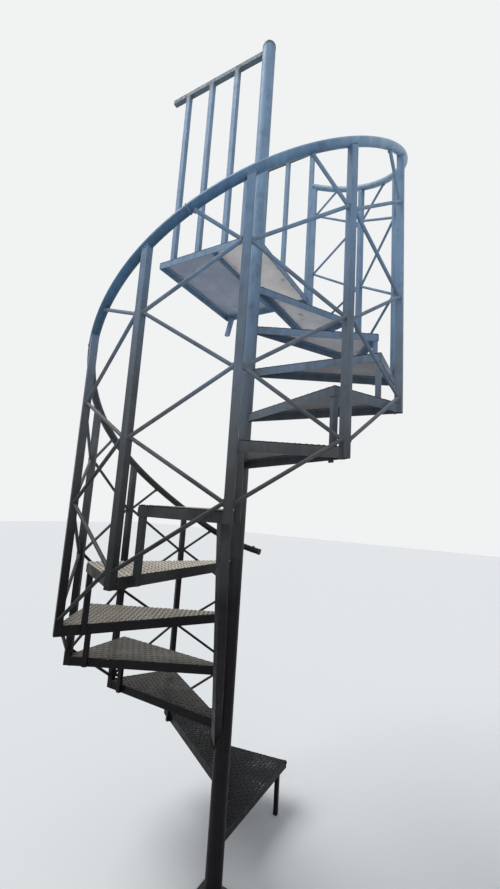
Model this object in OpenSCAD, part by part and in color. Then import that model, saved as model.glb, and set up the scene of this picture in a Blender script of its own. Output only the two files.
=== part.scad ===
// Spiral staircase of welded steel, turning once round a 2 1/2 inch tube.
// Twelve wedge treads rise counter-clockwise to a landing on the 13th level.
// Origin: column axis at floor level. +X runs along the first riser,
// +Y is the way the landing leads. All sizes in millimetres.

/* [Stair] */
// Height from one tread to the next
riser = 200; // [185:1:215]
// Height from the last tread to the landing
last_riser = 240; // [200:1:260]
// Turn from one tread to the next, in degrees
turn = 30; // [28:0.5:31]

/* [Column] */
// Outside diameter of the column tube
col_d = 63.5; // [48.3:0.1:76.1]
// Wall of the column tube
col_wall = 3; // [2:0.1:5]
// Height of the tube above the landing guard
col_over = 5; // [2:1:100]
// Lip of the round cap past the tube
cap_lip = 0.8; // [0.4:0.1:3]
// Height of the straight band of the cap
cap_band = 8; // [6:0.5:16]
// Height of the dome of the cap
cap_dome = 23; // [16:1:30]

/* [Base plate] */
// Side of the square base plate
base_w = 160; // [140:5:220]
// Thickness of the base plate
base_t = 8; // [6:0.5:12]
// Spacing of the four anchor holes
hole_pitch = 118; // [108:1:124]
// Diameter of the anchor holes
hole_d = 14; // [10:0.5:16]

/* [Treads] */
// Thickness of the chequer plate
plate_t = 3; // [2:0.5:5]
// Depth of the angle frame under the plate
bar_depth = 30; // [25:1:40]
// Width of the angle's top flange
bar_leg = 24; // [18:1:28]
// Thickness of the angle
bar_t = 3; // [2.5:0.1:4]
// Distance of the short corner struts inside the post centres
strut_in = 75; // [60:1:100]
// Side of the square strut tube
strut_w = 19; // [16:0.5:22]
// Height of the strut's foot above the bar it is welded to
strut_up = 4; // [1:0.5:10]
// How far the tread's front corner reaches past the strut
corner_over = 2; // [1:0.5:8]
// How far the tread's outer edge stays inside the post's outer face
edge_in = 14; // [10:0.5:18]
// How far the first tread's front corner reaches past the post centres
first_out = -17; // [-40:1:12]
// Distance of the first tread's leg inside the post centres
leg_back = 88; // [60:1:110]

/* [Rail posts] */
// Distance from the column axis to the post centres
post_r = 625; // [600:1:700]
// Side of the square post tube
post_w = 25.4; // [22:0.1:30]
// Wall of the post tube
post_wall = 1.6; // [1.2:0.1:2]
// Corner radius of all the square tubes
tube_round = 2.5; // [2.2:0.1:3.5]

/* [Handrail] */
// Height of the handrail's centre over each tread, at its post
rail_h = 996; // [850:1:1100]
// Diameter of the round handrail tube
rail_d = 32; // [28:0.5:42]
// Where the handrail starts, in degrees round the column
rail_start = 19.5; // [15:0.5:24]
// Where its slope starts to ease off towards that end
rail_bend = 50; // [40:1:60]
// Share of the slope that is gone at the free end
rail_ease = 0.7; // [0:0.05:0.9]
// How much lower than an even rise the handrail lies, 140 degrees from its crown
rail_sag = 18; // [0:1:30]
// Where the handrail lies fully at its height, in degrees round the column
rail_crown = 190; // [150:5:230]

/* [Zigzag rods] */
// Diameter of the round bracing rods
rod_d = 12; // [8:0.5:14]
// Distance of the rod centres inside the posts' outer faces
rod_in = 10; // [9.5:0.5:12]
// How far the falling rods lie inside the rising ones
rod_step = 2; // [1:0.5:3]
// Height of the bottom knots over the tread
knot_low = 20; // [18:1:40]
// Height of the middle knots over the tread
knot_mid = 390; // [330:5:420]
// Height of the top knots over the tread
knot_top = 770; // [700:5:800]

/* [Landing] */
// Length of the landing, from the last tread to the building
landing_len = 570; // [500:5:700]
// Distance from the last tread to the landing's cross bar
cross_y = 240; // [150:5:330]
// Height of the landing guards
guard_h = 1000; // [900:5:1100]
// Length of the guards' top rails
guard_len = 592; // [560:1:720]
// Distance from the last tread to the first guard bar
bar_first = 178; // [150:1:200]
// Spacing of the guard bars
bar_pitch = 156; // [120:1:160]
// Diameter of the spare hole near the open end of the guard by the column
end_hole_d = 8; // [5:0.5:10]
// Distance of that hole from the end
end_hole_in = 14; // [10:1:30]
// Height of the landing's leg under its frame, on the building side
leg_h = 107; // [60:1:200]
// Distance of the leg's top from the landing's far edge
leg_in = 42; // [20:1:80]
// How far the leg leans out towards the building
leg_lean = 25; // [0:1:30]

/* [Knee brace] */
// Side of the square brace tube
brace_w = 30; // [20:0.5:34]
// Turn of the tube about its own length
brace_turn = 30; // [0:5:45]
// Distance of the tube's middle from the tread's back line
brace_side = 25; // [20:0.5:30]
// Height where the brace meets the column
brace_z = 585; // [500:5:650]
// Distance of the brace's outer end inside the post centres
brace_in = 48; // [44:1:80]

/* [Clearance] */
// Gap between the handrail and what is welded to it
seat_gap = 0.2; // [0.1:0.05:0.4]

/* [Hidden] */
steps = 12;
brace_tread = 7;
guard_bars = 3;
// As built by hand, post by post: how far the top knot lies under its usual height,
// and where the bay's top rod meets the handrail, as a share of the bay
knot_drop = [0, 0, 0, 0, 34, 0, 0, 14, 0, 0, 0, 0];
rail_share = [0, 0.5, 0.5, 0.5, 0.5, 0.28, 0.45, 0.52, 0.6, 0.5, 0.36, 0.51];

paint = [0.15, 0.18, 0.2];
plate_paint = [0.3, 0.33, 0.33];
col_r = col_d / 2;
rail_r = rail_d / 2;
post_in = post_r - post_w / 2;
strut_r = post_r - strut_in;
brace_r = post_r - brace_in;
post_out = post_r + post_w / 2;
landing_z = steps * riser + last_riser;
guard_top = landing_z + guard_h;
col_top = guard_top + col_over;
post_shift = atan(post_w / 2 / post_r);
rod_r = post_out - rod_in;
far = 2000;

// A point given along and across a radial line
function on_line(az, along, across) = [
    along * cos(az) - across * sin(az),
    along * sin(az) + across * cos(az)
];

// Handrail: height and slope of its centre line at an angle round the column
function post_az(k) = k * turn - post_shift;
rail_rise = riser / turn;
sag_span = 140;
function rail_lin(az) = rail_h + rail_rise * (az + post_shift);
function ease_at(az) = az < rail_bend ? (rail_bend - az) / (rail_bend - rail_start) : 0;
function sag_at(az) = rail_sag * pow((az - rail_crown) / sag_span, 2);
function rail_z(az) = (az < rail_bend
    ? rail_lin(rail_bend) - rail_rise * (rail_bend - az) * (1 - rail_ease * ease_at(az) / 2)
    : rail_lin(az)) - sag_at(az);
function rail_slope(az) = atan((
    rail_rise * (1 - rail_ease * ease_at(az))
    - 2 * rail_sag * (az - rail_crown) / pow(sag_span, 2)
) / (post_r * PI / 180));

// Everything over the tangent plane on the handrail's underside
module above_rail(az) {
    rotate(az)
        translate([post_r, 0, rail_z(az)])
            rotate([rail_slope(az), 0, 0])
                translate([-50, -60, -rail_r - seat_gap])
                    cube([100, 120, 160]);
}

// Cross-section of a square tube, centred, with its corners rounded
module soft_square(w, r) {
    square([w - 2 * r, w], center = true);
    square([w, w - 2 * r], center = true);
    for (x = [-1, 1], y = [-1, 1])
        translate([x * (w / 2 - r), y * (w / 2 - r)])
            circle(r = r, $fn = 32);
}

// A post's outside, or with a wall its bore
module post_solid(k, wall = 0) {
    rotate(k * turn)
        translate([post_r, -post_w / 2, 0])
            linear_extrude(far * 3)
                soft_square(post_w - 2 * wall, tube_round - wall);
}

// Stretch of a post between its foot under the tread and the rail
module post_band(k) {
    foot = k * riser - plate_t - bar_depth;
    top = rail_z(post_az(k)) + rail_d;
    translate([-far / 2, -far / 2, foot])
        cube([far, far, top - foot]);
}

module rod(a, b, past_a, past_b) {
    v = b - a;
    l = norm(v);
    u = v / l;
    translate(a - u * past_a)
        rotate([0, acos(u[2]), atan2(u[1], u[0])])
            cylinder(h = l + past_a + past_b, d = rod_d, $fn = 32);
}

// Knots on the two faces that look into bay k, the rods' centre lines meet there
function knot_low_post(k, h, step) = [
    each on_line((k - 1) * turn, rod_r - step, 0), (k - 1) * riser + h
];
function knot_high_post(k, h, step) = [
    each on_line(k * turn, rod_r - step, -post_w), k * riser + h
];
function top_knot(k) = knot_top - knot_drop[k - 1];
function rod_meets(k) = post_az(k - 1) + rail_share[k - 1] * turn;
function rail_point(az) = [each on_line(az, post_r, 0), rail_z(az)];

module rising_rod(k, h_low, h_high, past) {
    rod(knot_low_post(k, h_low, 0), knot_high_post(k, h_high, 0), past, past);
}

module falling_rod(k, h_low, h_high, past) {
    rod(knot_low_post(k, h_low, rod_step), knot_high_post(k, h_high, rod_step), past, past);
}

module bay_rods(k) {
    past = rod_d * 0.7;
    difference() {
        union() {
            rod(knot_high_post(k, top_knot(k), rod_step), rail_point(rod_meets(k)), past, 0);
            rising_rod(k, top_knot(k - 1), top_knot(k), past);
            falling_rod(k, top_knot(k - 1), knot_mid, past);
            rising_rod(k, knot_mid, knot_mid, past);
            falling_rod(k, knot_mid, knot_low, past);
            rising_rod(k, knot_low, knot_low, past);
        }
        above_rail(rod_meets(k));
        rotate((k - 1) * turn)
            translate([0, -far, 0])
                cube([far, far, far * 3]);
        rotate(k * turn)
            translate([0, -post_w + post_wall / 2, 0])
                cube([far, far, far * 3]);
    }
}

module rail_post(k) {
    difference() {
        intersection() {
            post_solid(k);
            post_band(k);
        }
        above_rail(post_az(k));
        post_solid(k, post_wall);
    }
}

module rail_panel(k) {
    color(paint) {
        rail_post(k);
        bay_rods(k);
    }
}

// Corners of a tread: the front line is +X, the back line is turned on
function corner_r(k) = k == 1 ? post_r + first_out : strut_r + strut_w / 2 + corner_over;
function edge_end() = on_line(turn, post_out - edge_in, -post_w);

module tread_outline(k) {
    polygon([
        [0, 0],
        [corner_r(k), 0],
        edge_end(),
        on_line(turn, post_in, -post_w),
        on_line(turn, post_in, 0)
    ]);
}

// Point where a line through p along u meets a line through q along v
function meet(p, u, q, v) =
    p + u * (((q - p)[0] * v[1] - (q - p)[1] * v[0]) / (u[0] * v[1] - u[1] * v[0]));

// The tread's outline less a triangle that stays w inside its three lines
module frame_ring(k, w) {
    corner = [corner_r(k), 0];
    edge = (edge_end() - corner) / norm(edge_end() - corner);
    front = [0, w];
    back = on_line(turn, 0, -w);
    outer = corner + w * [-edge[1], edge[0]];
    along_x = [1, 0];
    along_back = on_line(turn, 1, 0);
    difference() {
        tread_outline(k);
        polygon([
            meet(front, along_x, back, along_back),
            meet(front, along_x, outer, edge),
            meet(back, along_back, outer, edge)
        ]);
    }
}

// An angle bar along +X: web on the line, flange on top to the +Y side
module angle_bar(l) {
    translate([0, 0, -plate_t - bar_depth])
        cube([l, bar_t, bar_depth]);
    translate([0, 0, -plate_t - bar_t])
        cube([l, bar_leg, bar_t]);
}

module strut(r, from_y, low, high) {
    translate([r, from_y + strut_w / 2, low])
        linear_extrude(high - low)
            soft_square(strut_w, tube_round);
}

module tread_frame(k) {
    color(paint)
        translate([0, 0, k * riser])
            rotate((k - 1) * turn) {
                difference() {
                    union() {
                        translate([0, 0, -plate_t - bar_depth])
                            linear_extrude(bar_depth)
                                frame_ring(k, bar_t);
                        translate([0, 0, -plate_t - bar_t])
                            linear_extrude(bar_t)
                                frame_ring(k, bar_leg);
                    }
                    translate([0, 0, -far / 2])
                        cylinder(h = far, r = col_r, $fn = 96);
                }
                if (k == 1)
                    strut(post_r - leg_back, bar_t / 2, -riser, -plate_t - bar_t / 2);
                else
                    strut(strut_r, 0, -riser - plate_t - bar_depth + strut_up, -plate_t);
            }
}

module tread_plate(k) {
    color(plate_paint)
        translate([0, 0, k * riser - plate_t])
            rotate((k - 1) * turn)
                difference() {
                    linear_extrude(plate_t)
                        tread_outline(k);
                    translate([0, 0, -1])
                        cylinder(h = plate_t + 2, r = col_r, $fn = 96);
                }
}

module base_plate() {
    color(paint)
        difference() {
            translate([-base_w / 2, -base_w / 2, 0])
                cube([base_w, base_w, base_t]);
            for (x = [-1, 1], y = [-1, 1])
                translate([x * hole_pitch / 2, y * hole_pitch / 2, -1])
                    cylinder(h = base_t + 2, d = hole_d, $fn = 32);
        }
}

module column() {
    color(paint)
        translate([0, 0, base_t])
            difference() {
                cylinder(h = col_top - base_t, r = col_r, $fn = 96);
                translate([0, 0, -1])
                    cylinder(h = col_top - base_t + 2, r = col_r - col_wall, $fn = 96);
            }
}

module column_cap() {
    r = col_r + cap_lip;
    n = 12;
    color(paint)
        translate([0, 0, col_top])
            rotate_extrude($fn = 96)
                polygon([
                    [0, 0],
                    [r, 0],
                    [r, cap_band],
                    for (i = [1:n - 1])
                        [r * cos(90 * i / n), cap_band + cap_dome * sin(90 * i / n)],
                    [0, cap_band + cap_dome]
                ]);
}

// Square tube from the column up to the flange under a tread's outer end,
// in the tread's own frame
module brace_tube() {
    z0 = brace_z - brace_tread * riser;
    z1 = -plate_t - bar_t;
    lean = atan2(z1 - z0, brace_r - col_r);
    intersection() {
        rotate(turn)
            translate([col_r, -brace_side, z0])
                rotate([0, 90 - lean, 0])
                    translate([0, 0, -brace_w * 2])
                        linear_extrude(far)
                            rotate(brace_turn)
                                soft_square(brace_w, tube_round);
        translate([-far, -far, z0 - 200])
            cube([2 * far, 2 * far, z1 - z0 + 200]);
    }
}

module knee_brace() {
    color(paint)
        translate([0, 0, brace_tread * riser])
            rotate((brace_tread - 1) * turn)
                difference() {
                    brace_tube();
                    translate([0, 0, -far])
                        cylinder(h = 2 * far, r = col_r, $fn = 96);
                    rotate(turn)
                        translate([-far, -far / 2, -far])
                            cube([far, far, 2 * far]);
                }
}

// Handrail swept as upright rings along its rising curve
rail_sides = 16;
rail_rings = 72;
rail_end = steps * turn - asin(seat_gap / (post_r - rail_r));
function ring_az(i) = rail_start + (rail_end - rail_start) * i / rail_rings;
rail_points = [
    for (i = [0:rail_rings])
        for (j = [0:rail_sides - 1])
            let (
                az = ring_az(i),
                t = 360 * (j + 0.5) / rail_sides,
                r = post_r + rail_r * cos(t)
            )
            [r * cos(az), r * sin(az), rail_z(az) + rail_r * sin(t) / cos(rail_slope(az))]
];
rail_faces = concat(
    [[for (j = [0:rail_sides - 1]) j]],
    [
        for (i = [0:rail_rings - 1])
            for (j = [0:rail_sides - 1])
                let (
                    a = i * rail_sides + j,
                    b = i * rail_sides + (j + 1) % rail_sides
                )
                each [
                    [a, a + rail_sides, b],
                    [b, a + rail_sides, b + rail_sides]
                ]
    ],
    [[for (j = [rail_sides - 1:-1:0]) rail_rings * rail_sides + j]]
);

module handrail() {
    color(paint)
        polyhedron(points = rail_points, faces = rail_faces, convexity = 10);
}

module landing_place() {
    translate([0, 0, landing_z])
        rotate(steps * turn)
            children();
}

module landing_outline() {
    translate([-post_w / 2, 0])
        square([post_out + post_w / 2, landing_len]);
}

module landing_frame() {
    wide = post_out + post_w / 2;
    color(paint)
        landing_place()
            difference() {
                union() {
                    translate([-post_w / 2, 0, 0])
                        angle_bar(wide);
                    translate([-post_w / 2, landing_len, 0])
                        mirror([0, 1, 0])
                            angle_bar(wide);
                    translate([post_out, 0, 0])
                        rotate(90)
                            angle_bar(landing_len);
                    translate([-post_w / 2, 0, 0])
                        rotate(90)
                            mirror([0, 1, 0])
                                angle_bar(landing_len);
                    translate([-post_w / 2, cross_y, 0])
                        angle_bar(wide);
                }
                translate([0, 0, -far / 2])
                    cylinder(h = far, r = col_r, $fn = 96);
            }
}

module landing_plate() {
    color(plate_paint)
        landing_place()
            translate([0, 0, -plate_t])
                difference() {
                    linear_extrude(plate_t)
                        landing_outline();
                    translate([0, 0, -1])
                        cylinder(h = plate_t + 2, r = col_r, $fn = 96);
                }
}

// Short leg under the landing's far corner, leaning out to the building
module landing_leg() {
    foot = [post_r, landing_len - leg_in + leg_lean];
    top_z = -plate_t - bar_depth;
    lean = atan(leg_lean / leg_h);
    color(paint)
        landing_place()
            intersection() {
                translate([foot[0], foot[1], top_z - leg_h])
                    rotate([lean, 0, 0])
                        translate([0, 0, -post_w])
                            linear_extrude(far)
                                soft_square(post_w, tube_round);
                translate([0, 0, top_z - leg_h])
                    cube([far, far, leg_h]);
            }
}

// A guard: square top rail on square bars
module guard(x, bars) {
    landing_place()
        difference() {
            union() {
                translate([x, 0, guard_h - post_w / 2])
                    rotate([-90, 0, 0])
                        linear_extrude(guard_len)
                            soft_square(post_w, tube_round);
                for (y = bars)
                    translate([x, y, 0])
                        linear_extrude(guard_h - post_w + post_wall / 2)
                            soft_square(post_w, tube_round);
            }
            translate([x, col_r, guard_h - post_w / 2])
                rotate([-90, 0, 0])
                    linear_extrude(guard_len)
                        soft_square(post_w - 2 * post_wall, tube_round - post_wall);
        }
}

bar_rows = [for (i = [0:guard_bars - 1]) bar_first + i * bar_pitch];

module landing_guard() {
    color(paint)
        difference() {
            guard(0, bar_rows);
            cylinder(h = far * 3, r = col_r, $fn = 96);
            landing_place()
                translate([-far / 2, guard_len - end_hole_in, guard_h - post_w / 2])
                    rotate([0, 90, 0])
                        cylinder(h = far, d = end_hole_d, $fn = 32);
        }
}

module side_guard() {
    color(paint)
        guard(post_r, concat([post_w / 2], bar_rows));
}

base_plate();
column();
column_cap();
knee_brace();
tread_frame(1);  // tread_frame_01
tread_frame(2);  // tread_frame_02
tread_frame(3);  // tread_frame_03
tread_frame(4);  // tread_frame_04
tread_frame(5);  // tread_frame_05
tread_frame(6);  // tread_frame_06
tread_frame(7);  // tread_frame_07
tread_frame(8);  // tread_frame_08
tread_frame(9);  // tread_frame_09
tread_frame(10);  // tread_frame_10
tread_frame(11);  // tread_frame_11
tread_frame(12);  // tread_frame_12
tread_plate(1);  // tread_plate_01
tread_plate(2);  // tread_plate_02
tread_plate(3);  // tread_plate_03
tread_plate(4);  // tread_plate_04
tread_plate(5);  // tread_plate_05
tread_plate(6);  // tread_plate_06
tread_plate(7);  // tread_plate_07
tread_plate(8);  // tread_plate_08
tread_plate(9);  // tread_plate_09
tread_plate(10);  // tread_plate_10
tread_plate(11);  // tread_plate_11
tread_plate(12);  // tread_plate_12
color(paint) rail_post(1);  // rail_post_01
rail_panel(2);  // rail_panel_02
rail_panel(3);  // rail_panel_03
rail_panel(4);  // rail_panel_04
rail_panel(5);  // rail_panel_05
rail_panel(6);  // rail_panel_06
rail_panel(7);  // rail_panel_07
rail_panel(8);  // rail_panel_08
rail_panel(9);  // rail_panel_09
rail_panel(10);  // rail_panel_10
rail_panel(11);  // rail_panel_11
rail_panel(12);  // rail_panel_12
handrail();
landing_frame();
landing_plate();
landing_leg();
landing_guard();
side_guard();
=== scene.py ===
import math
import random

import bpy
from mathutils import Matrix, Vector


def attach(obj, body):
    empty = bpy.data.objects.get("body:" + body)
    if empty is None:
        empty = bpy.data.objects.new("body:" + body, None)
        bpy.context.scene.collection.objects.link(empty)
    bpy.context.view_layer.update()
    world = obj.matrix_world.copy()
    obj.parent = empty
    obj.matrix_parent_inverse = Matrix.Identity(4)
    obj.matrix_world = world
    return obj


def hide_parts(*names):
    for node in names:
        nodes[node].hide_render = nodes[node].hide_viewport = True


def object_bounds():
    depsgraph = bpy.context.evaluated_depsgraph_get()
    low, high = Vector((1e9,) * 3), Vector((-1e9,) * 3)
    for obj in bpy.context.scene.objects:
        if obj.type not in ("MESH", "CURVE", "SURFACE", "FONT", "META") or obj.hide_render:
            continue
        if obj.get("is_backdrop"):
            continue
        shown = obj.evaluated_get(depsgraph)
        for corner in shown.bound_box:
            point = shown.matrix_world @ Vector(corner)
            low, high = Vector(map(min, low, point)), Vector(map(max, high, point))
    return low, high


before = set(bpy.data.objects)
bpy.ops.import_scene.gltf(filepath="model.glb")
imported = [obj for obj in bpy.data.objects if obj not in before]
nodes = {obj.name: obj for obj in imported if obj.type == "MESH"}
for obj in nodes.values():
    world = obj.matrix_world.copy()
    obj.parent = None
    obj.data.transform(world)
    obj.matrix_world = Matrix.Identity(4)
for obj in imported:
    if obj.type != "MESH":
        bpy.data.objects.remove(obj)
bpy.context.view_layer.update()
random.seed(7)


# Viewpoint: eye height, close to the stair, looking slightly up and tilted a
# little to one side, through a wide lens that takes in the whole of it.
eye = Vector((-1.4568, -0.8841, 1.4109))
heading = math.radians(30.238)
pitch = math.radians(8.779)
roll = math.radians(3.681)
ahead = Vector((math.cos(heading) * math.cos(pitch), math.sin(heading) * math.cos(pitch), math.sin(pitch)))
level = Vector((math.sin(heading), -math.cos(heading), 0))
above = level.cross(ahead)
cam_x = level * math.cos(roll) + above * math.sin(roll)
cam_y = above * math.cos(roll) - level * math.sin(roll)
lens = bpy.data.cameras.new("eye_lens")
lens.sensor_width = 36
lens.lens = 16.652
lens.clip_start = 0.05
camera = bpy.data.objects.new("eye", lens)
bpy.context.scene.collection.objects.link(camera)
camera.matrix_world = Matrix.Translation(eye) @ Matrix((cam_x, cam_y, -ahead)).transposed().to_4x4()
bpy.context.scene.camera = camera
bpy.context.scene.view_settings.view_transform = "Standard"


# Studio: a pale matt floor under a pale sky that is brightest overhead, with one
# wide soft light from above on the left and a weak low one in front.
bpy.ops.mesh.primitive_plane_add(size=40, location=(0, 0, 0))
floor = bpy.context.object
floor.name = "studio_floor"
floor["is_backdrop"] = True
pale = bpy.data.materials.new("studio_floor")
pale.use_nodes = True
matt = pale.node_tree.nodes["Principled BSDF"]
matt.inputs["Base Color"].default_value = (0.62, 0.62, 0.615, 1)
matt.inputs["Roughness"].default_value = 0.9
matt.inputs["Specular IOR Level"].default_value = 0.2
floor.data.materials.append(pale)

sky_shades = [
    (0.0, (0.60, 0.62, 0.66)), (0.2, (0.50, 0.54, 0.60)),
    (0.55, (0.66, 0.72, 0.80)), (1.0, (0.90, 0.97, 1.0)),
]
sky = bpy.data.worlds.new("studio_sky")
sky.use_nodes = True
bpy.context.scene.world = sky
tree = sky.node_tree
tree.nodes.clear()
rays = tree.nodes.new("ShaderNodeLightPath")
shown = rays.outputs["Is Camera Ray"]
for kind in ("Is Glossy Ray", "Is Transmission Ray"):
    larger = tree.nodes.new("ShaderNodeMath")
    larger.operation = "MAXIMUM"
    tree.links.new(shown, larger.inputs[0])
    tree.links.new(rays.outputs[kind], larger.inputs[1])
    shown = larger.outputs[0]
toward = tree.nodes.new("ShaderNodeTexCoord")
parts = tree.nodes.new("ShaderNodeSeparateXYZ")
tree.links.new(toward.outputs["Generated"], parts.inputs[0])
sky_ramp = tree.nodes.new("ShaderNodeValToRGB")
tree.links.new(parts.outputs["Z"], sky_ramp.inputs["Fac"])
while len(sky_ramp.color_ramp.elements) < len(sky_shades):
    sky_ramp.color_ramp.elements.new(0.5)
for element, (at, colour) in zip(sky_ramp.color_ramp.elements, sky_shades):
    element.position = at
    element.color = (*colour, 1)
lamp_sky = tree.nodes.new("ShaderNodeBackground")
tree.links.new(sky_ramp.outputs["Color"], lamp_sky.inputs["Color"])
lamp_sky.inputs["Strength"].default_value = 0.66
shown_sky = tree.nodes.new("ShaderNodeBackground")
shown_sky.inputs["Color"].default_value = (0.88, 0.89, 0.895, 1)
either = tree.nodes.new("ShaderNodeMixShader")
out = tree.nodes.new("ShaderNodeOutputWorld")
tree.links.new(shown, either.inputs["Fac"])
tree.links.new(lamp_sky.outputs[0], either.inputs[1])
tree.links.new(shown_sky.outputs[0], either.inputs[2])
tree.links.new(either.outputs[0], out.inputs["Surface"])

for name, strength, spread, colour, way in (
    ("day_light", 2.6, 36, (0.97, 0.985, 1.0), (1.0, -1.5, -2.9)),
    ("low_light", 1.3, 50, (1.0, 0.985, 0.96), (0.72, 0.68, -0.04)),
):
    soft_sun = bpy.data.lights.new(name, "SUN")
    soft_sun.energy = strength
    soft_sun.angle = math.radians(spread)
    soft_sun.color = colour
    lamp = bpy.data.objects.new(name, soft_sun)
    lamp.rotation_euler = Vector(way).to_track_quat("-Z", "Y").to_euler()
    bpy.context.scene.collection.objects.link(lamp)


# Base plate: 8 mm steel under the column. It wears the old dark paint of all the tubes, bars and angles,
# with painted light by height: a painted shade keeps it near black low down and a painted sky light turns it
# grey-blue higher up. It is dusty on what faces up, and worn through to grey steel and rust on the edges.
def material_tree(name):
    made = bpy.data.materials.new(name)
    made.use_nodes = True
    return made, made.node_tree, made.node_tree.nodes["Principled BSDF"]


def node_of(tree, kind, links=(), **values):
    made = tree.nodes.new(kind)
    for key, value in values.items():
        setattr(made, key, value)
    for socket, source in links:
        tree.links.new(source, made.inputs[socket])
    return made


def noise_of(tree, place, scale, detail=4.0, rough=0.55, lengthen=None):
    if lengthen:
        place = node_of(tree, "ShaderNodeMapping", [("Vector", place)])
        place.inputs["Scale"].default_value = lengthen
        place = place.outputs[0]
    made = node_of(tree, "ShaderNodeTexNoise", [("Vector", place)])
    made.inputs["Scale"].default_value = scale
    made.inputs["Detail"].default_value = detail
    made.inputs["Roughness"].default_value = rough
    return made.outputs["Fac"]


def ramp_of(tree, source, stops):
    made = node_of(tree, "ShaderNodeValToRGB", [("Fac", source)])
    ramp = made.color_ramp
    while len(ramp.elements) < len(stops):
        ramp.elements.new(0.5)
    for element, (at, colour) in zip(ramp.elements, stops):
        element.position = at
        element.color = (*colour, 1) if isinstance(colour, tuple) else (colour, colour, colour, 1)
    return made.outputs["Color"]


def mix_of(tree, share, one, two, blend="MIX"):
    made = node_of(tree, "ShaderNodeMix", data_type="RGBA", blend_type=blend)
    for socket, value in ((0, share), (6, one), (7, two)):
        if isinstance(value, (int, float)):
            made.inputs[socket].default_value = value if socket == 0 else (value, value, value, 1)
        elif isinstance(value, tuple):
            made.inputs[socket].default_value = (*value, 1)
        else:
            tree.links.new(value, made.inputs[socket])
    return made.outputs[2]


def math_of(tree, operation, one, two=0.0, clamp=False):
    made = node_of(tree, "ShaderNodeMath", operation=operation, use_clamp=clamp)
    for socket, value in ((0, one), (1, two)):
        if isinstance(value, (int, float)):
            made.inputs[socket].default_value = value
        else:
            tree.links.new(value, made.inputs[socket])
    return made.outputs[0]


def times(tree, one, two):
    return math_of(tree, "MULTIPLY", one, two)


def edge_share(tree, radius):
    """1 on edges and 0 on flat faces, from how far a rounded normal turns."""
    steepness = 6.0
    round_normal = node_of(tree, "ShaderNodeBevel", samples=6)
    round_normal.inputs["Radius"].default_value = radius
    flat = tree.nodes.new("ShaderNodeNewGeometry")
    pair = [(0, round_normal.outputs[0]), (1, flat.outputs["Normal"])]
    same = node_of(tree, "ShaderNodeVectorMath", pair, operation="DOT_PRODUCT").outputs["Value"]
    return math_of(tree, "MULTIPLY", math_of(tree, "SUBTRACT", 1.0, same), steepness, True)


def slope_of(tree):
    """1 on a face that looks up, 0 on an upright one and -1 on an underside."""
    flat = tree.nodes.new("ShaderNodeNewGeometry")
    return node_of(tree, "ShaderNodeSeparateXYZ", [("Vector", flat.outputs["Normal"])]).outputs["Z"]


def up_share(tree):
    return math_of(tree, "MAXIMUM", slope_of(tree), 0.0)


def height_of(tree, place, stops, jitter=None):
    """A share or a colour that follows the height above the floor in metres."""
    highest = 4
    high = node_of(tree, "ShaderNodeSeparateXYZ", [("Vector", place)]).outputs["Z"]
    if jitter:
        high = math_of(tree, "ADD", high, jitter)
    return ramp_of(tree, times(tree, high, 1 / highest), [(at / highest, value) for at, value in stops])


def press(tree, shader, pattern, strength, depth):
    """Give a surface the fine relief of a pattern."""
    bump = node_of(tree, "ShaderNodeBump", [("Height", pattern)])
    bump.inputs["Strength"].default_value = strength
    bump.inputs["Distance"].default_value = depth
    tree.links.new(bump.outputs[0], shader.inputs["Normal"])


edge_wide = 0.0014
dust_tan, grime_brown, handled_blue = (0.27, 0.25, 0.215), (0.020, 0.016, 0.013), (0.098, 0.142, 0.168)
rubbed_steel, brown_rust, deep_rust = (0.17, 0.17, 0.165), (0.115, 0.062, 0.036), (0.055, 0.026, 0.014)
# The paint's colour by height is painted light: a painted shade keeps it near black below about 1.1 m, and a
# painted sky light turns it grey-blue higher up.
frame_painted_light = [
    (1.12, (0.0042, 0.0032, 0.0050)), (1.32, (0.028, 0.031, 0.033)), (1.5, (0.056, 0.062, 0.067)),
    (1.7, (0.088, 0.100, 0.112)), (1.95, (0.118, 0.152, 0.198)), (2.25, (0.146, 0.224, 0.336)),
    (2.8, (0.182, 0.278, 0.400)),
]


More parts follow.
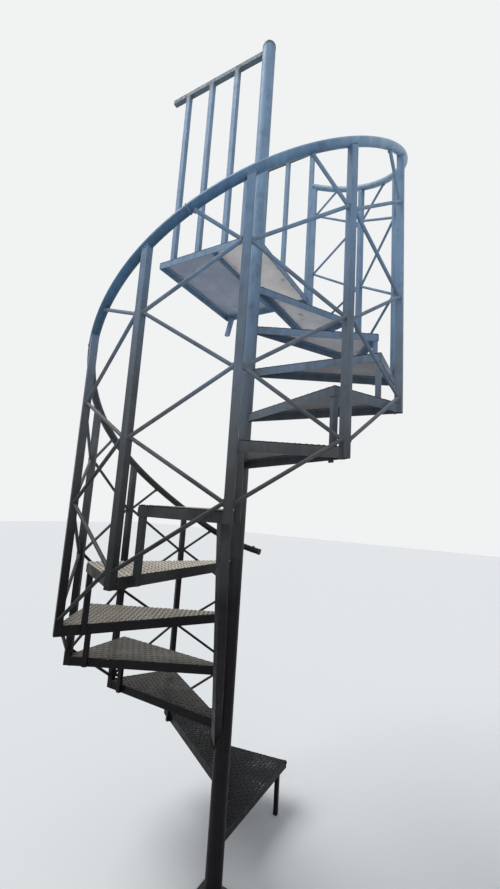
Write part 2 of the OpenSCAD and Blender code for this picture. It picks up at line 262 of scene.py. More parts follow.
def paint_of(name, dust=0.3, wear=0.8, chip_level=0.70, rust=0.45, gloss=(0.36, 0.54),
             painted_light_by_height=frame_painted_light, scuffs=None):
    """Brushed paint with painted light by height, a painted shade low down and a painted sky light higher
    up, under dust, grime, rubs and chips.
    """
    made, tree, shader = material_tree(name)
    place = tree.nodes.new("ShaderNodeTexCoord").outputs["Object"]
    broad = noise_of(tree, place, 3.2, 5.0)
    streaks = noise_of(tree, place, 46.0, 3.0, 0.6, (1, 1, 0.10))
    fine = noise_of(tree, place, 320.0, 3.0, 0.7)
    uneven = math_of(tree, "SUBTRACT", times(tree, broad, 0.8), 0.4)
    colour = height_of(tree, place, painted_light_by_height, uneven)
    brushed = ramp_of(tree, streaks, [(0.36, 0.74), (0.66, 1.0)])
    colour = mix_of(tree, 0.75, colour, brushed, "MULTIPLY")
    grime = ramp_of(tree, noise_of(tree, place, 16.0, 6.0, 0.65), [(0.5, 0.0), (0.74, 1.0)])
    colour = mix_of(tree, times(tree, grime, 0.30), colour, grime_brown)
    patchy = ramp_of(tree, noise_of(tree, place, 24.0, 5.0), [(0.3, 0.25), (0.7, 1.0)])
    dusty = times(tree, times(tree, up_share(tree), patchy), dust)
    colour = mix_of(tree, dusty, colour, dust_tan)
    rubbed = ramp_of(tree, noise_of(tree, place, 52.0, 5.0, 0.7), [(0.47, 0.0), (0.6, 1.0)])
    edges = times(tree, times(tree, edge_share(tree, edge_wide), rubbed), wear)
    flaked = noise_of(tree, place, 75.0, 6.0, 0.62)
    chips = ramp_of(tree, flaked, [(chip_level, 0.0), (chip_level + 0.012, 1.0)])
    if scuffs:
        handled = height_of(tree, place, scuffs)
        colour = mix_of(tree, handled, colour, handled_blue)
        rubs = ramp_of(tree, noise_of(tree, place, 58.0, 6.0, 0.66), [(0.50, 0.0), (0.56, 1.0)])
        chips = math_of(tree, "MAXIMUM", chips, times(tree, rubs, handled))
    bare = math_of(tree, "MAXIMUM", edges, times(tree, chips, 0.85))
    metal = [(rust - 0.05, rubbed_steel), (rust + 0.06, brown_rust), (rust + 0.2, deep_rust)]
    colour = mix_of(tree, bare, colour, ramp_of(tree, noise_of(tree, place, 11.0, 5.0), metal))
    tree.links.new(colour, shader.inputs["Base Color"])
    rough = ramp_of(tree, noise_of(tree, place, 30.0, 4.0), [(0.3, gloss[0]), (0.7, gloss[1])])
    rough = mix_of(tree, math_of(tree, "MAXIMUM", bare, dusty), rough, 0.72)
    tree.links.new(rough, shader.inputs["Roughness"])
    shader.inputs["Specular IOR Level"].default_value = 0.12
    relief = math_of(tree, "ADD", times(tree, streaks, 0.3), times(tree, fine, 0.22))
    relief = math_of(tree, "SUBTRACT", relief, times(tree, bare, 0.5))
    press(tree, shader, relief, 0.4, 0.0006)
    return made


def dress(names, material):
    """Paint solids of the frame."""
    for name in names:
        mesh = nodes[name].data
        mesh.materials.clear()
        mesh.materials.append(material)


frame_paint = paint_of("old_dark_paint")
dress(["base_plate"], frame_paint)


# Anchors: four M12 studs set in the floor, each with a washer and a plain hex nut
# that was tightened at its own angle, painted over together with the base plate.
plate_top = 0.008
hole_pitch = 0.118
stud_r, stud_top = 0.0060, 0.0215
thread_step, thread_root, threads = 0.0006, 0.90, 7
nut_r, nut_low, nut_top = 0.0110, 0.0105, 0.0200
washer_r, washer_top = 0.0120, 0.0102
stud_chamfer, nut_chamfer, washer_chamfer = (0.0012, 0.80), (0.0008, 0.90), (0.0003, 0.97)
nut_turns = [(1, 1, 8), (-1, 1, 41), (-1, -1, 23), (1, -1, 52)]


def pick(piece):
    """Select one piece alone."""
    bpy.ops.object.select_all(action="DESELECT")
    piece.select_set(True)
    bpy.context.view_layer.objects.active = piece


def edit(piece, test, kind="FACE"):
    """Go into edit mode on one piece, with only the faces or corners that pass."""
    pick(piece)
    bpy.ops.object.mode_set(mode="EDIT")
    bpy.ops.mesh.select_mode(type=kind)
    bpy.ops.mesh.select_all(action="DESELECT")
    bpy.ops.object.mode_set(mode="OBJECT")
    for part in piece.data.polygons if kind == "FACE" else piece.data.vertices:
        part.select = test(part)
    bpy.ops.object.mode_set(mode="EDIT")


def done():
    bpy.ops.object.mode_set(mode="OBJECT")
    bpy.ops.object.select_all(action="DESELECT")


def rod_of(sides, radius, low, high):
    bpy.ops.object.select_all(action="DESELECT")
    middle = (0, 0, (low + high) / 2)
    bpy.ops.mesh.primitive_cylinder_add(vertices=sides, radius=radius, depth=high - low, location=middle)
    bpy.ops.object.transform_apply()
    return bpy.context.object


def raise_top(piece, steps):
    """Draw the top face up by each step and size it by each factor."""
    top = max(v.co.z for v in piece.data.vertices)
    edit(piece, lambda face: face.normal.z > 0.9 and face.center.z > top - 1e-6)
    for up, factor in steps:
        bpy.ops.mesh.extrude_region_move(TRANSFORM_OT_translate={"value": (0, 0, up)})
        bpy.ops.transform.resize(value=(factor, factor, 1))
    done()


def copies(name, model, places, material, smooth=True):
    """One piece of many copies of a modelled shape, each at its own place."""
    corners = [v.co.copy() for v in model.data.vertices]
    loops = [tuple(face.vertices) for face in model.data.polygons]
    points, faces = [], []
    for place in places:
        first = len(points)
        points.extend(place @ corner for corner in corners)
        faces.extend(tuple(first + i for i in loop) for loop in loops)
    mesh = bpy.data.meshes.new(name)
    mesh.from_pydata(points, [], faces)
    mesh.polygons.foreach_set("use_smooth", [smooth] * len(faces))
    mesh.materials.append(material)
    piece = bpy.data.objects.new(name, mesh)
    bpy.context.scene.collection.objects.link(piece)
    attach(piece, "root")
    return piece


stud = rod_of(20, stud_r, plate_top, stud_top)
thread = [(thread_step, thread_root), (thread_step, 1 / thread_root)]
raise_top(stud, thread * threads + [stud_chamfer])
nut = rod_of(6, nut_r, nut_low, nut_top)
raise_top(nut, [nut_chamfer])
washer = rod_of(32, washer_r, plate_top, washer_top)
raise_top(washer, [washer_chamfer])
pick(stud)
nut.select_set(True)
washer.select_set(True)
bpy.ops.object.join()
anchor = bpy.context.object
weld_paint = paint_of("painted_weld", dust=0.12, wear=0.35, chip_level=0.62, rust=0.40, gloss=(0.42, 0.6))
for number, (x, y, turned) in enumerate(nut_turns, 1):
    hole = Matrix.Translation((x * hole_pitch / 2, y * hole_pitch / 2, 0))
    place = hole @ Matrix.Rotation(math.radians(turned), 4, "Z")
    copies(f"anchor_{number:02d}", anchor, [place], weld_paint, False)
bpy.data.objects.remove(anchor)


# Column: a 2 1/2 inch tube that carries every tread, welded to the base plate all
# round. Here as at every joint of the stair the weld is a hand-laid bead of
# overlapping scales: one scale is modelled, and each run is laid with it.
col_r = 0.03175
fine_bead, small_bead, mid_bead, full_bead, wide_bead = 0.0024, 0.0026, 0.0028, 0.0030, 0.0034
lump_bead, foot_bead = 0.0046, 0.0042
# How far the middle of a bead lies from the face that it is laid on.
face_off, lump_off, edge_off, wide_off = 0.0004, 0.0006, 0.0008, 0.001
scale_taper, scale_step, scale_long = (0.7, 0.86, 0.86), 0.9, 0.85
scale_size, scale_spot, scale_stray = (0.82, 1.15), (0.35, 0.65), 0.14
dress(["column"], frame_paint)

bpy.ops.object.select_all(action="DESELECT")
bpy.ops.mesh.primitive_uv_sphere_add(segments=8, ring_count=4, radius=1)
weld_scale = bpy.context.object
edit(weld_scale, lambda corner: corner.co.x > 0.1, "VERT")
bpy.ops.transform.resize(value=scale_taper)
done()


def bead(route, radius, closed=False):
    """Places of the scales of one weld run along a route of points."""
    route = [Vector(point) for point in route]
    if closed:
        route.append(route[0])
    places = []
    for a, b in zip(route, route[1:]):
        count = max(1, round((b - a).length / (radius * scale_step)))
        aim = (b - a).to_track_quat("X", "Z").to_matrix().to_4x4()
        for i in range(count):
            size = radius * random.uniform(*scale_size)
            shift = Vector([random.uniform(-scale_stray, scale_stray) * radius for _ in range(3)])
            at = a.lerp(b, (i + random.uniform(*scale_spot)) / count) + shift
            places.append(Matrix.Translation(at) @ aim @ Matrix.Diagonal((size * scale_long, size, size, 1)))
    return places


def arc(radius, height, start, end, count):
    """Points of a level arc round the column's axis, from one angle to another."""
    turns = [math.radians(start + (end - start) * i / count) for i in range(count + 1)]
    return [(radius * math.cos(t), radius * math.sin(t), height) for t in turns]


def weld(name, places):
    return copies(name, weld_scale, places, weld_paint)


weld("foot_weld", bead(arc(col_r + wide_off, plate_top + wide_off, 0, 360, 60), foot_bead))


# Column cap: a pressed dome pushed on the column's top, tacked on with a thin seam that was ground back. Its
# colour by height is painted light: a painted blue sky light on its skirt and a painted sky reflection, dull
# grey-green, on top.
cap_seam, cap_bead = 3.645, 0.0016
# The cap's colour by height is painted light: painted blue sky light on the skirt, a painted grey-green sky
# reflection on top.
cap_painted_light = [(3.60, (0.120, 0.185, 0.265)), (3.67, (0.062, 0.090, 0.096))]
cap_paint = paint_of("weathered_cap_and_painted_light", dust=0.12, wear=0.9, chip_level=0.68, rust=0.55,
                     painted_light_by_height=cap_painted_light)
dress(["column_cap"], cap_paint)
weld("cap_weld", bead(arc(col_r - lump_off, cap_seam, 0, 360, 90), cap_bead))


# Tread frames: angle iron, mitred and welded at the corners, its two inner ends
# welded to the column. Each stands on the tread below with a short square strut
# at its front outer corner, and the first on the floor with a leg.
riser = 0.2
turn = 30
treads = range(1, 13)
web_low, web_top = -0.033, -0.006
web_outside, web_inside = 0.0005, 0.0045
flange_wide, plate_under = 0.0245, -0.0045
stitches, stitch_long, stitch_drift = (0.13, 0.27, 0.41), 0.014, 0.02
corner_r, first_corner_r = 0.5615, 0.608
strut_in, strut_out, strut_sides = 0.5405, 0.5595, (0.004, 0.017)
strut_head, strut_foot, foot_low, foot_top = -0.0068, -0.2300, -0.227, -0.206
head_trim, foot_trim, foot_across = 0.002, 0.003, 0.002
leg_in, leg_out, leg_sides = 0.5275, 0.5465, (0.005, 0.019)
post_in, post_out, post_w = 0.6123, 0.6377, 0.0254
post_off, post_lip, post_shoe = 0.0003, 0.0105, (-0.004, -0.022)
lump_ends, corner_lump = ((-0.010, 0.003, -0.010), (0.002, 0.001, -0.001)), 0.0120
doubled_tread, doubled_bead = 9, 0.0048
doubled_ends = ((0.5415, 0.004, -0.2345), (0.5585, 0.004, -0.2350))


def on_line(az, along, across, high=0.0):
    """A point given along and across a line that leaves the axis at an angle."""
    right, left = math.cos(math.radians(az)), math.sin(math.radians(az))
    return Vector((along * right - across * left, along * left + across * right, high))


def tread_place(k):
    return Matrix.Translation((0, 0, riser * k)) @ Matrix.Rotation(math.radians(turn * (k - 1)), 4, "Z")


def up_web(az, along, across):
    """Both ends of a run that climbs the web of the angle iron."""
    return [on_line(az, along, across, web_low), on_line(az, along, across, web_top)]


def flat_run(start, end, across, high):
    """Both ends of a run that lies level, with x along it."""
    return [(start, across, high), (end, across, high)]


for k in treads:
    corner = first_corner_r if k == 1 else corner_r
    runs = []
    for az, hand in ((0, 1), (turn, -1)):
        runs += bead(up_web(az, col_r + web_outside, -hand * web_outside), full_bead)
        runs += bead(up_web(az, col_r, hand * web_inside), mid_bead)
        for along in stitches:
            start = along + random.uniform(-stitch_drift, stitch_drift)
            ends = [on_line(az, at, hand * flange_wide, plate_under) for at in (start, start + stitch_long)]
            runs += bead(ends, small_bead)
    runs += bead(arc(col_r + face_off, plate_under, turn / 6, turn * 5 / 6, 8), small_bead)
    runs += bead(up_web(0, corner - edge_off, 0), fine_bead)
    runs += bead(up_web(turn, post_in - post_off, face_off), full_bead)
    runs += bead(up_web(turn, post_in + post_lip, -post_w - edge_off), wide_bead)
    runs += bead([on_line(turn, post_in - wide_off, across, web_low) for across in post_shoe], full_bead)
    if k > 1:
        for along in (strut_in, strut_out):
            runs += bead([(along, -face_off, foot_low), (along, -face_off, foot_top)], mid_bead)
            runs += bead([(along, across, strut_head) for across in strut_sides], fine_bead)
        head = flat_run(strut_in + head_trim, strut_out - head_trim, -lump_off, web_low + face_off)
        foot = flat_run(strut_in + foot_trim, strut_out - foot_trim, foot_across, strut_foot)
        runs += bead(head, fine_bead) + bead(foot, full_bead)
    if k == 1:
        for along in (leg_in, leg_out):
            runs += bead([(along, across, strut_head) for across in leg_sides], small_bead)
        runs += bead([(corner + along, across, high) for along, across, high in lump_ends], corner_lump)
    if k == doubled_tread:
        runs += bead(doubled_ends, doubled_bead)
    place = tread_place(k)
    weld(f"tread_weld_{k:02d}", [place @ run for run in runs])
dress([f"tread_frame_{k:02d}" for k in treads], frame_paint)


# Tread plates: 3 mm chequer plate sheared to each frame and stitched to it from below, with short raised
# dashes that slant in turn one way and the other. The paint is trodden and dusty on top, with painted light
# by height: a painted shade keeps the lowest treads dark and a painted light makes the middle treads pale
# tan. Underneath it is darker on the lower treads, a painted shade, and paler towards the landing, a painted
# light.
tread_dust_and_light_tan, sheen_tan = (0.85, 0.75, 0.60), (1.0, 0.93, 0.82, 1)
speck_grey, rust_stain = (0.29, 0.30, 0.31), (0.10, 0.066, 0.046)
# The pale tones on one strip under the landing are a painted light.
painted_light_tones = [(0.3, (0.66, 0.62, 0.61)), (0.7, (0.82, 0.78, 0.77))]
painted_light_from, painted_light_to = 0.236, 0.244
top_dark, top_worn = (0.0054, 0.0060, 0.0074), (0.0108, 0.0118, 0.0136)
below_dark, below_pale = (0.44, 0.45, 0.49), (0.65, 0.64, 0.655)
dash_dark, dash_bright, dash_worn_from = (0.0080, 0.0086, 0.0094), (0.27, 0.275, 0.28), 0.49
# The shares of specks and of tan dust by height are partly real dust and partly painted light: a painted
# shade keeps the lowest treads dark and a painted light makes the middle treads pale tan.
speck_share = [(0.2, 0.14), (0.4, 0.40), (0.6, 0.65)]
# The undersides' colour by height is painted light: a painted shade darkens the lower treads, lifting to a
# painted light towards the landing.
shade_below = [(1.5, 0.18), (1.8, 0.26), (2.05, 0.47), (2.2, 0.78), (2.38, 1.0)]
tread_dust_and_light = [(0.42, 0.0), (0.62, 0.06), (0.82, 0.15), (0.98, 0.28), (1.15, 1.0), (1.25, 1.0), (1.5, 0.42)]


def dusty_sheen(shader, weight):
    shader.inputs["Sheen Weight"].default_value = weight
    shader.inputs["Sheen Roughness"].default_value = 0.35
    shader.inputs["Sheen Tint"].default_value = sheen_tan


def plate_paint_of(name, dark, worn, stained, pale_underside, painted_light_share=0.0):
    """Trodden paint on top, dusty with painted light by height, and stained paint underneath with painted
    shade and light by height, with a strip of pale painted light where asked.
    """
    made, tree, shader = material_tree(name)
    place = tree.nodes.new("ShaderNodeTexCoord").outputs["Object"]
    top = ramp_of(tree, noise_of(tree, place, 6.0, 5.0), [(0.36, dark), (0.68, worn)])
    fine_dust = ramp_of(tree, noise_of(tree, place, 60.0, 6.0, 0.7), [(0.34, 0.7), (0.60, 1.0)])
    trodden = ramp_of(tree, noise_of(tree, place, 9.0, 4.0), [(0.4, 0.85), (0.60, 1.0)])
    flat_place = node_of(tree, "ShaderNodeMapping", [("Vector", place)])
    flat_place.inputs["Scale"].default_value = (1, 1, 0)
    from_axis = node_of(tree, "ShaderNodeVectorMath", [(0, flat_place.outputs[0])], operation="LENGTH")
    # Tan dust on top by height: partly real dust, partly painted light.
    dust_and_light = height_of(tree, place, tread_dust_and_light)
    swept = ramp_of(tree, from_axis.outputs["Value"], [(0.15, 1.0), (0.5, 0.72)])
    dust_and_light = times(tree, times(tree, dust_and_light, swept), up_share(tree))
    top = mix_of(tree, times(tree, times(tree, fine_dust, trodden), dust_and_light), top, tread_dust_and_light_tan)
    specks = ramp_of(tree, noise_of(tree, place, 190.0, 3.0, 0.6), [(0.585, 0.0), (0.64, 1.0)])
    strewn = ramp_of(tree, noise_of(tree, place, 12.0, 4.0, 0.6), [(0.46, 0.05), (0.62, 1.0)])
    strewn = times(tree, times(tree, specks, strewn), height_of(tree, place, speck_share))
    top = mix_of(tree, strewn, top, speck_grey)
    stains = noise_of(tree, place, 8.0, 6.0, 0.6)
    below = ramp_of(tree, stains, [(0.34, stained), (0.66, pale_underside)])
    # Darker on the lower treads, a painted shade, and paler towards the landing, a painted light.
    below = mix_of(tree, 1.0, below, height_of(tree, place, shade_below), "MULTIPLY")
    # A pale painted light over one strip of the underside, up to the cross bar.
    if painted_light_share:
        across = node_of(tree, "ShaderNodeSeparateXYZ", [("Vector", place)]).outputs["Y"]
        painted_light_colour = ramp_of(tree, stains, painted_light_tones)
        strip = ramp_of(tree, across, [(painted_light_from, painted_light_share), (painted_light_to, 0.0)])
        below = mix_of(tree, strip, below, painted_light_colour)
    rusty = ramp_of(tree, noise_of(tree, place, 14.0, 6.0, 0.66), [(0.60, 0.0), (0.72, 1.0)])
    below = mix_of(tree, times(tree, rusty, 0.55), below, rust_stain)
    faces_down = math_of(tree, "LESS_THAN", slope_of(tree), -0.5)
    tree.links.new(mix_of(tree, faces_down, top, below), shader.inputs["Base Color"])
    rough = ramp_of(tree, noise_of(tree, place, 70.0, 5.0), [(0.3, 0.24), (0.7, 0.42)])
    tree.links.new(mix_of(tree, faces_down, rough, 0.7), shader.inputs["Roughness"])
    shader.inputs["Specular IOR Level"].default_value = 0.06
    dusty_sheen(shader, 0.10)
    press(tree, shader, noise_of(tree, place, 300.0, 4.0, 0.7), 0.35, 0.0005)
    return made


def dash_paint_of(name):
    """Paint left on the dashes' flanks, bare metal where feet have worn them."""
    made, tree, shader = material_tree(name)
    place = tree.nodes.new("ShaderNodeTexCoord").outputs["Object"]
    feet = noise_of(tree, place, 9.0, 4.0)
    trodden = ramp_of(tree, feet, [(dash_worn_from, 0.0), (dash_worn_from + 0.12, 1.0)])
    patchy = ramp_of(tree, noise_of(tree, place, 60.0, 5.0, 0.7), [(0.44, 0.10), (0.58, 1.0)])
    worn = times(tree, times(tree, trodden, patchy), up_share(tree))
    # The dashes' tan by height is partly real dust, partly painted light.
    dusty = times(tree, times(tree, height_of(tree, place, tread_dust_and_light), up_share(tree)), 0.78)
    colour = mix_of(tree, dusty, dash_dark, tread_dust_and_light_tan)
    colour = mix_of(tree, worn, colour, dash_bright)
    tree.links.new(colour, shader.inputs["Base Color"])
    tree.links.new(mix_of(tree, worn, 0.45, 0.34), shader.inputs["Roughness"])
    shader.inputs["Specular IOR Level"].default_value = 0.16
    dusty_sheen(shader, 0.08)
    press(tree, shader, noise_of(tree, place, 420.0, 3.0, 0.7), 0.3, 0.0003)
    return made


tread_paint = plate_paint_of("worn_tread_plate", top_dark, top_worn, below_dark, below_pale)
dash_paint = dash_paint_of("worn_tread_dashes")
dress([f"tread_plate_{k:02d}" for k in treads], tread_paint)

dash_pitch, first_dash, dash_slant = 0.017, 0.3, 45
dash_long, dash_wide, dash_high, dash_sunk = 0.016, 0.0046, 0.0018, 0.0004
dash_taper = (0.80, 0.50, 1)
dash = rod_of(8, 0.5, -dash_sunk, dash_high)
edit(dash, lambda face: True)
bpy.ops.transform.resize(value=(dash_long, dash_wide, 1))
done()
edit(dash, lambda face: face.normal.z > 0.9)
bpy.ops.transform.resize(value=dash_taper)
done()


def dash_places(wide, deep, left_out):
    """Rows of dashes over a rectangle from the origin, slanting in turn."""
    places = []
    for row in range(int(deep / dash_pitch) + 2):
        for column in range(int(wide / dash_pitch) + 2):
            x, y = (column + first_dash) * dash_pitch, (row + first_dash) * dash_pitch
            if not left_out(x, y):
                slant = math.radians(dash_slant if (row + column) % 2 else -dash_slant)
                places.append(Matrix.Translation((x, y, 0)) @ Matrix.Rotation(slant, 4, "Z"))
    return places


def trim(piece, cuts):
    """Cut a piece off outside each line, given by a point and an outward way."""
    for point, outward in cuts:
        edit(piece, lambda face: True)
        bpy.ops.mesh.bisect(plane_co=point, plane_no=outward, use_fill=True, clear_outer=True)
        bpy.ops.mesh.select_all(action="SELECT")
        bpy.ops.mesh.delete_loose()
        done()


tread_long, tread_deep = 0.64, 0.33
column_clear, wedge_slope, wedge_spare = 0.043, 0.6, 0.02
shear_gap, post_lap = 0.0004, 0.014


def off_tread(x, y):
    return math.hypot(x, y) < column_clear or y > x * wedge_slope + wedge_spare


for k in treads:
    corner = first_corner_r if k == 1 else corner_r
    edge = (on_line(turn, post_out - post_lap, -post_w) - Vector((corner, 0, 0))).normalized()
    beyond = Vector((edge.y, -edge.x, 0))
    places = dash_places(tread_long, tread_deep, off_tread)
    pattern = copies(f"tread_dashes_{k:02d}", dash, places, dash_paint)
    trim(pattern, [
        ((0, shear_gap, 0), (0, -1, 0)),
        (on_line(turn, 0, -shear_gap), on_line(turn, 0, 1)),
        (on_line(turn, post_in - shear_gap, 0), on_line(turn, 1, 0)),
        (Vector((corner, 0, 0)) - beyond * shear_gap, beyond),
    ])
    pattern.data.transform(tread_place(k))


# Knee brace: a square tube turned on its own axis, from the column up to the
# flange of the seventh tread, welded round both ends.
brace_az, brace_across, brace_reach = 210, -0.025, 0.577
brace_low, brace_high = 0.585, 1.394
brace_turn, brace_w, brace_bead = math.radians(30), 0.030, 0.0040
side_steps = 6
brace_foot = on_line(brace_az, col_r, brace_across, brace_low)
brace_head = on_line(brace_az, brace_reach, brace_across, brace_high)
brace_way = (brace_head - brace_foot).normalized()
brace_side = on_line(brace_az, 0, 1).normalized()
brace_up = brace_side.cross(brace_way)
foot_route, head_route = [], []
for i in range(4 * side_steps):
    t = i / side_steps % 1 * 2 - 1
    a, b = [(t, -1), (1, t), (-t, 1), (-1, -t)][i // side_steps]
    a, b = a * brace_w / 2, b * brace_w / 2
    out_up = a * math.cos(brace_turn) - b * math.sin(brace_turn)
    out_side = a * math.sin(brace_turn) + b * math.cos(brace_turn)
    line = brace_foot + brace_up * out_up + brace_side * out_side
    head_route.append(line + brace_way * ((brace_high - line.z) / brace_way.z) - Vector((0, 0, wide_off)))
    flat_line, flat_way = Vector((line.x, line.y)), Vector((brace_way.x, brace_way.y))
    share, spread = flat_line.dot(flat_way), flat_way.dot(flat_way)
    inside = share ** 2 - spread * (flat_line.dot(flat_line) - col_r ** 2)
    foot_route.append(line + brace_way * ((math.sqrt(max(inside, 0)) - share) / spread))
weld("brace_weld", bead(foot_route, brace_bead, True) + bead(head_route, wide_bead, True))
dress(["knee_brace"], frame_paint)


# Balustrade: square posts, and in each bay between two of them a zigzag of round
# rods, each end welded to a post's face with a ring of small lumps, with one
# short rod up to the handrail.
rail_r, post_r = 0.016, 0.625
rod_r, rod_step = 0.6277, 0.002
knot_mid, knot_low, knot_top = 0.390, 0.020, 0.770
knot_drop = [0, 0, 0, 0, 0.034, 0, 0, 0.014, 0, 0, 0, 0]
rail_share = [0, 0.5, 0.5, 0.5, 0.5, 0.28, 0.45, 0.52, 0.6, 0.5, 0.36, 0.51]
post_shift = math.degrees(math.asin(post_w / 2 / post_r))
rail_base, rail_start, rail_bend, rail_ease, rail_end = 0.996, 19.5, 50, 0.7, 359.98
rail_sag, rail_crown, sag_span = 0.018, 190, 140
rod_ring, ring_lumps = 0.0066, 7
top_ring, top_off, top_turn, top_bead = 0.0062, 0.0035, 0.9, 0.0036
knot_tall = Vector((0, 0, 0.004))


def rail_height(az):
    """Height of the rail's axis: a helix that drops a little towards its ends and
    eases off at the free one."""
    def even(at):
        return rail_base + riser / turn * (at + post_shift)
    sag = rail_sag * ((az - rail_crown) / sag_span) ** 2
    if az >= rail_bend:
        return even(az) - sag
    eased = (rail_bend - az) / (rail_bend - rail_start)
    return even(rail_bend) - riser / turn * (rail_bend - az) * (1 - rail_ease * eased / 2) - sag


def rod_end(face_az, across, other_az, other_across, low, high, radius_in, outward):
    """A ring of small lumps where a rod meets a post's face."""
    a = on_line(face_az, rod_r - radius_in, across, low)
    b = on_line(other_az, rod_r - radius_in, other_across, high)
    way = (b - a).normalized()
    side = way.orthogonal().normalized()
    other = way.cross(side)
    lean = outward.dot(way)
    ring = []
    for i in range(ring_lumps):
        t = i / ring_lumps * math.tau
        off = (side * math.cos(t) + other * math.sin(t)) * rod_ring
        ring.append(a + off - way * (off.dot(outward) / lean) + outward * lump_off)
    return bead(ring, wide_bead, True)


for k in treads[1:]:
    low_az, high_az = turn * (k - 1), turn * k
    low_top, high_top = knot_top - knot_drop[k - 2], knot_top - knot_drop[k - 1]
    low_face, high_face = on_line(low_az, 0, 1), on_line(high_az, 0, -1)
    base_low, base_high = riser * (k - 1), riser * k
    rods = [
        (low_top, high_top, 0), (low_top, knot_mid, rod_step), (knot_mid, knot_mid, 0),
        (knot_mid, knot_low, rod_step), (knot_low, knot_low, 0),
    ]
    runs = []
    for low, high, back in rods:
        runs += rod_end(low_az, 0, high_az, -post_w, base_low + low, base_high + high, back, low_face)
        runs += rod_end(high_az, -post_w, low_az, 0, base_high + high, base_low + low, back, high_face)
    meet_az = turn * (k - 1) - post_shift + rail_share[k - 1] * turn
    meet = on_line(meet_az, post_r, 0, rail_height(meet_az))
    knot = on_line(high_az, rod_r - rod_step, -post_w, base_high + high_top)
    way = (meet - knot).normalized()
    side = way.orthogonal().normalized()
    other = way.cross(side)
    under_rail = meet - way * (rail_r + top_off)
    turns = [top_turn * i for i in range(ring_lumps)]
    ring = [under_rail + (side * math.cos(t) + other * math.sin(t)) * top_ring for t in turns]
    runs += bead(ring, top_bead, True)
    for az, across, base, top in (
        (high_az, -post_w - wide_off, base_high, high_top), (low_az, wide_off, base_low, low_top),
    ):
        for knot_high in (top, knot_mid, knot_low):
            at = on_line(az, rod_r, across, base + knot_high)
            runs += bead([at - knot_tall, at + knot_tall], lump_bead)
    weld(f"bay_weld_{k:02d}", runs)
dress(["rail_post_01"] + [f"rail_panel_{k:02d}" for k in treads[1:]], frame_paint)


# Handrail: a 32 mm round tube rolled to the helix, smoothed by hands, butt-welded
# twice, plugged at its free end and welded down on every post.
rail_rings, tube_inset = 200, 0.00035
seams, seam_bead = (144.3, 191.7), 0.0022
plug_low, plug_high, plug_proud = -0.004, 0.006, 0.0004
plug_dome = [(0.0022, 0.94), (0.0016, 0.80), (0.0004, 0.45), (-0.0012, 0.90)]
lump_after, lump_rise, lump_long = 2.6, 0.0005, 0.012
side_out, side_drop, side_half, side_bead = 0.0100, 0.0128, 0.0125, 0.0040
end_out, end_drop, end_half = 0.0132, 0.0172, 0.010
look_ahead = 0.2
# The rail's colour by height is painted light: a painted shade keeps it near black low down, and a painted
# sky light and reflection turn it light blue near the top.
rail_painted_light = [
    (1.20, (0.006, 0.006, 0.007)), (1.45, (0.032, 0.033, 0.035)), (1.72, (0.056, 0.058, 0.062)),
    (1.92, (0.046, 0.066, 0.092)), (2.15, (0.048, 0.108, 0.186)), (2.36, (0.066, 0.142, 0.246)),
    (2.52, (0.150, 0.250, 0.375)), (2.7, (0.240, 0.355, 0.480)),
]
rail_paint = paint_of("handled_rail_paint", dust=0.08, wear=0.6, chip_level=0.69, rust=0.5,
                      gloss=(0.28, 0.46), painted_light_by_height=rail_painted_light)
bpy.ops.object.select_all(action="DESELECT")
bpy.ops.curve.primitive_nurbs_path_add()
tube = bpy.context.object
tube.name = "handrail_tube"
tube.data.splines.clear()
line = tube.data.splines.new("POLY")
line.points.add(rail_rings)
for i, point in enumerate(line.points):
    az = rail_start + (rail_end - rail_start) * i / rail_rings
    point.co = (*on_line(az, post_r, 0, rail_height(az)), 1)
tube.data.twist_mode = "Z_UP"
tube.data.bevel_depth = rail_r - tube_inset
tube.data.bevel_resolution = 12
tube.data.use_fill_caps = True
bpy.ops.object.convert(target="MESH")
tube = bpy.context.object
bpy.ops.object.shade_smooth_by_angle(angle=math.radians(40))
tube.data.materials.clear()
tube.data.materials.append(rail_paint)
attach(tube, "root")
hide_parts("handrail")
dress(["handrail"], rail_paint)


def rail_axes(az):
    """Point, forward way, inward side and up of the handrail at an angle."""
    at = on_line(az, post_r, 0, rail_height(az))
    further = az + look_ahead
    way = (on_line(further, post_r, 0, rail_height(further)) - at).normalized()
    side = on_line(az, -1, 0)
    return at, way, side, way.cross(side).normalized()


def rail_ring(az, radius, count):
    at, way, side, up = rail_axes(az)
    turns = [math.tau * i / count for i in range(count)]
    return [at + (side * math.cos(t) + up * math.sin(t)) * radius for t in turns]


plug = rod_of(28, rail_r + plug_proud, plug_low, plug_high)
raise_top(plug, plug_dome)
pick(plug)
bpy.ops.object.shade_smooth_by_angle(angle=math.radians(35))
at, way, side, up = rail_axes(rail_start)
aim = Matrix((side, -side.cross(way), -way)).transposed().to_4x4()
plug.data.transform(Matrix.Translation(at) @ aim)
plug.name = "handrail_plug"
edit(plug, lambda face: True)
bpy.ops.mesh.normals_make_consistent(inside=False)
done()
made, tree, shader = material_tree("brown_rubber_plug")
place = tree.nodes.new("ShaderNodeTexCoord").outputs["Object"]
rubber = [(0.38, (0.020, 0.011, 0.009)), (0.6, (0.048, 0.026, 0.020)), (0.72, (0.10, 0.075, 0.06))]
tree.links.new(ramp_of(tree, noise_of(tree, place, 140.0, 5.0, 0.7), rubber), shader.inputs["Base Color"])
rough = ramp_of(tree, noise_of(tree, place, 200.0), [(0.3, 0.5), (0.7, 0.75)])
tree.links.new(rough, shader.inputs["Roughness"])
shader.inputs["Specular IOR Level"].default_value = 0.3
press(tree, shader, noise_of(tree, place, 600.0, 3.0, 0.7), 0.3, 0.0003)
plug.data.materials.clear()
plug.data.materials.append(made)
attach(plug, "root")

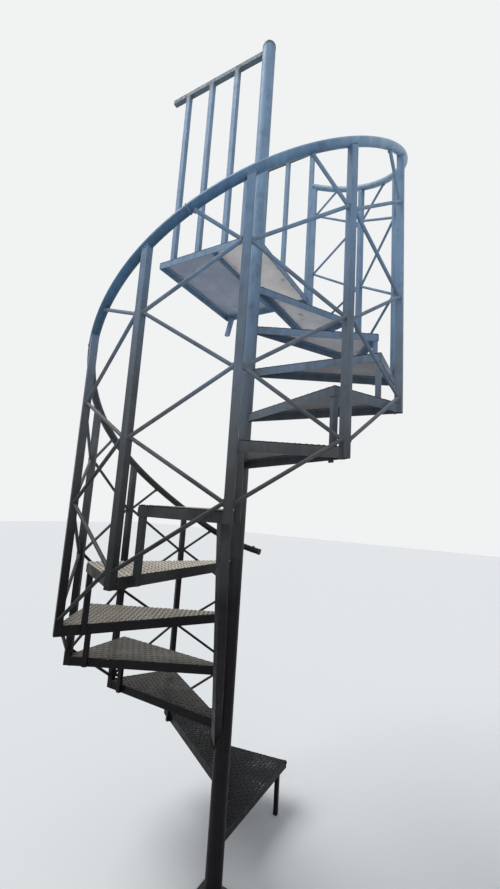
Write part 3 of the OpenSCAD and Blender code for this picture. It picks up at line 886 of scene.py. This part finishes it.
runs = []
for az in seams:
    runs += bead(rail_ring(az, rail_r - lump_off, 30), seam_bead, True)
at, way, side, up = rail_axes(rail_start + lump_after)
lump_at = at + up * (rail_r + lump_rise)
runs += bead([lump_at, lump_at + way * lump_long], lump_bead)
for k in treads:
    at, way, side, up = rail_axes(turn * k - post_shift)
    for hand in (-1, 1):
        middle = at + side * hand * side_out - Vector((0, 0, side_drop))
        runs += bead([middle - way * side_half, middle + way * side_half], side_bead)
    for hand in (-1, 1):
        middle = at + way * hand * end_out - Vector((0, 0, end_drop))
        runs += bead([middle - side * end_half, middle + side * end_half], wide_bead)
weld("handrail_weld", runs)


# Landing: chequer plate on an angle frame with a cross bar, welded to the column,
# the last post and a short leg. Two guards of square tube stand on it, welded at
# foot and head, their top rails scuffed by hands.
landing_z, plate_t = 2.64, 0.003
landing_left, landing_right, landing_far = -0.0127, 0.6377, 0.570
pattern_long, pattern_deep = 0.66, 0.58
cross_y, leg_y, leg_head = 0.240, 0.528, 0.0338
bars = [(0.0, 0.178), (0.0, 0.334), (0.0, 0.490)]
bars += [(0.625, 0.0127), (0.625, 0.178), (0.625, 0.334), (0.625, 0.490)]
bar_clear, foot_inset, foot_ring = 0.021, 0.0012, 0.0029
half = post_w / 2
guard_high, end_trim, head_inset = 1.0, 0.002, 0.0002
guard_low = landing_z + guard_high - post_w
guard_ends = (end_trim - half, half - end_trim)
face_in_column, side_in_column, column_arc = 0.0025, 0.003, (12, 82, 16)
corner_inset, corner_edge, corner_drop = 0.0034, 0.0036, (0.029, 0.005)
post_inset, post_drop = 0.002, (0.028, 0.004)
deck_stitches, deck_drift, deck_stitch, stitch_drop = (0.12, 0.27, 0.42, 0.55), 0.03, 0.016, 0.0015
deck_dark, deck_worn = (0.012, 0.013, 0.013), (0.034, 0.036, 0.035)
deck_below, deck_pale = (0.235, 0.270, 0.350), (0.305, 0.335, 0.410)
rail_scuffs = [(3.55, 0.0), (3.61, 0.9)]
landing_paint = plate_paint_of("worn_landing_plate", deck_dark, deck_worn, deck_below, deck_pale,
                               painted_light_share=0.92)
scuffed_paint = paint_of("scuffed_guard_paint", dust=0.5, wear=1.0, chip_level=0.66, rust=0.58,
                         scuffs=rail_scuffs)
dress(["landing_plate"], landing_paint)
dress(["landing_frame", "landing_leg"], frame_paint)
dress(["landing_guard", "side_guard"], scuffed_paint)


def under_a_bar(x, y):
    x += landing_left
    near_bar = any(abs(x - bx) < bar_clear and abs(y - by) < bar_clear for bx, by in bars)
    return math.hypot(x, y) < column_clear or near_bar


places = dash_places(pattern_long, pattern_deep, under_a_bar)
pattern = copies("landing_dashes", dash, places, dash_paint)
pattern.data.transform(Matrix.Translation((landing_left, 0, landing_z)))
trim(pattern, [
    ((landing_left + shear_gap, 0, 0), (-1, 0, 0)), ((landing_right - shear_gap, 0, 0), (1, 0, 0)),
    ((0, shear_gap, 0), (0, -1, 0)), ((0, landing_far - shear_gap, 0), (0, 1, 0)),
])


def square_ring(x, y, z, h):
    return [(x - h, y - h, z), (x + h, y - h, z), (x + h, y + h, z), (x - h, y + h, z)]


runs = []
for x, y in bars:
    runs += bead(square_ring(x, y, landing_z + edge_off, half - foot_inset), foot_ring, True)
    for hand in (-1, 1):
        start, end = [x + guard_end for guard_end in guard_ends]
        head = flat_run(start, end, y + hand * (half - head_inset), guard_low - face_off)
        runs += bead(head, full_bead)
for z in (guard_low, guard_low + post_w):
    runs += bead(flat_run(*guard_ends, col_r - face_in_column, z), full_bead)
for x in (-half, half):
    ends = [(x, col_r - side_in_column, z) for z in (guard_low + end_trim, guard_low + post_w - end_trim)]
    runs += bead(ends, full_bead)
under = landing_z - plate_t
for y in (corner_edge, landing_far - corner_edge, cross_y):
    for x in (landing_left + corner_inset, landing_right - corner_inset):
        runs += bead([(x, y, under - drop) for drop in corner_drop], full_bead)
runs += bead(arc(col_r + face_off, under - wide_off, *column_arc), small_bead)
for x in deck_stitches:
    for y in (flange_wide, cross_y + flange_wide, landing_far - flange_wide):
        start = x + random.uniform(-deck_drift, deck_drift)
        runs += bead(flat_run(start, start + deck_stitch, y, under - stitch_drop), mid_bead)
runs += bead(square_ring(post_r, leg_y, landing_z - leg_head, half - edge_off), mid_bead, True)
runs += bead([(landing_right - post_inset, -edge_off, under - drop) for drop in post_drop], full_bead)
weld("landing_weld", runs)

bpy.data.objects.remove(weld_scale)
bpy.data.objects.remove(dash)

low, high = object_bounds()
